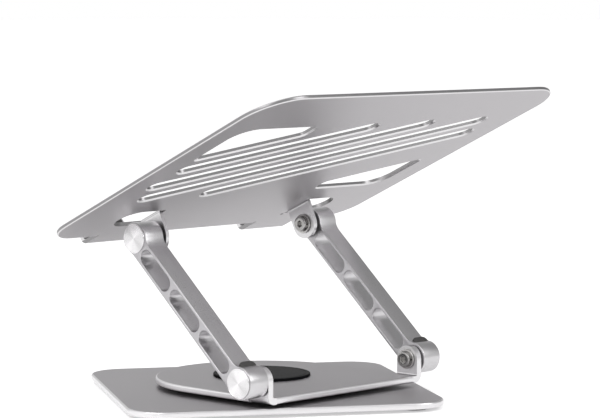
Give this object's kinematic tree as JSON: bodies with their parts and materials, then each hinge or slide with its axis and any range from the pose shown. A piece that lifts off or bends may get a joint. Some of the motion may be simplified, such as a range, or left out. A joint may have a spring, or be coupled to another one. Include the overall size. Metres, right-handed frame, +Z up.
{
  "type": "laptop stand",
  "caption": "Folding aluminium stand for a notebook computer: vented tray with front hooks on two slotted friction arms, over a turntable on a square rubber-footed base.",
  "frame": {"origin": "on the desk, under the swivel axis, at the middle of the underside of the centre pad", "axes": "+Z up along the swivel axis, +X to the user's right along the hinge axes, +Y to the rear, away from the user"},
  "size_m": [0.259, 0.2596, 0.1925],
  "materials": {
    "anodised_base": "bead-blasted, silver anodised",
    "anodised_tray": "bead-blasted, silver anodised, bright bevels",
    "anodised_arm": "bead-blasted, silver anodised",
    "spun_cap": "turned face, clear anodised",
    "steel": "zinc plated",
    "black_steel": "black oxide",
    "bronze": "sintered bronze, oiled",
    "black_cover": "glossy black",
    "nylon": "black nylon",
    "foot_rubber": "matte black silicone rubber",
    "pad_rubber": "matte dark grey silicone rubber"
  },
  "bodies": {
    "base": {"base_plate": "anodised_base", "base_corner_feet": "foot_rubber", "base_centre_pad": "foot_rubber", "pivot_stud": "steel", "pivot_screws": "black_steel", "glide_ring": "nylon", "swivel_wave_washer": "steel", "swivel_nut": "steel"},
    "turntable": {"turntable_plate": "anodised_base", "swivel_bush": "bronze", "hub_cover": "black_cover"},
    "right_arm": {"right_arm": "anodised_arm", "right_arm_pad": "pad_rubber", "right_lower_bush": "bronze", "right_upper_bush": "bronze", "right_lower_screw": "black_steel", "right_upper_screw": "black_steel", "right_flat_washers": "steel", "right_spring_washers": "steel", "right_friction_washers": "nylon", "right_barrel_nuts": "steel", "right_lower_cap": "spun_cap", "right_upper_cap": "spun_cap"},
    "left_arm": {"left_arm": "anodised_arm", "left_arm_pad": "pad_rubber", "left_lower_bush": "bronze", "left_upper_bush": "bronze", "left_lower_screw": "black_steel", "left_upper_screw": "black_steel", "left_flat_washers": "steel", "left_spring_washers": "steel", "left_friction_washers": "nylon", "left_barrel_nuts": "steel", "left_lower_cap": "spun_cap", "left_upper_cap": "spun_cap"},
    "tray": {"tray_plate": "anodised_tray", "tray_front_pad": "pad_rubber", "tray_rear_pad": "pad_rubber", "tray_side_pads": "pad_rubber", "right_hook_pad": "pad_rubber", "left_hook_pad": "pad_rubber"}
  },
  "joints": [
    {"name": "swivel", "type": "hinge", "parent": "base", "child": "turntable", "pos_m": [0, 0, 0.0104], "axis": [0, 0, 1], "continuous": true},
    {"name": "arm_fold", "type": "hinge", "parent": "turntable", "child": "right_arm", "pos_m": [0, 0.0644, 0.0224], "axis": [1, 0, 0], "range_deg": [-25, 28]},
    {"name": "left_arm_fold", "type": "hinge", "parent": "turntable", "child": "left_arm", "pos_m": [0, 0.0644, 0.0224], "axis": [1, 0, 0], "range_deg": [-25.5, 28.5]},
    {"name": "tray_tilt", "type": "hinge", "parent": "right_arm", "child": "tray", "pos_m": [0, -0.0251, 0.10158], "axis": [1, 0, 0], "range_deg": [-46, 30]}
  ],
  "couplings": [
    {"joint": "left_arm_fold", "follows": "arm_fold", "ratio": 1}
  ]
}
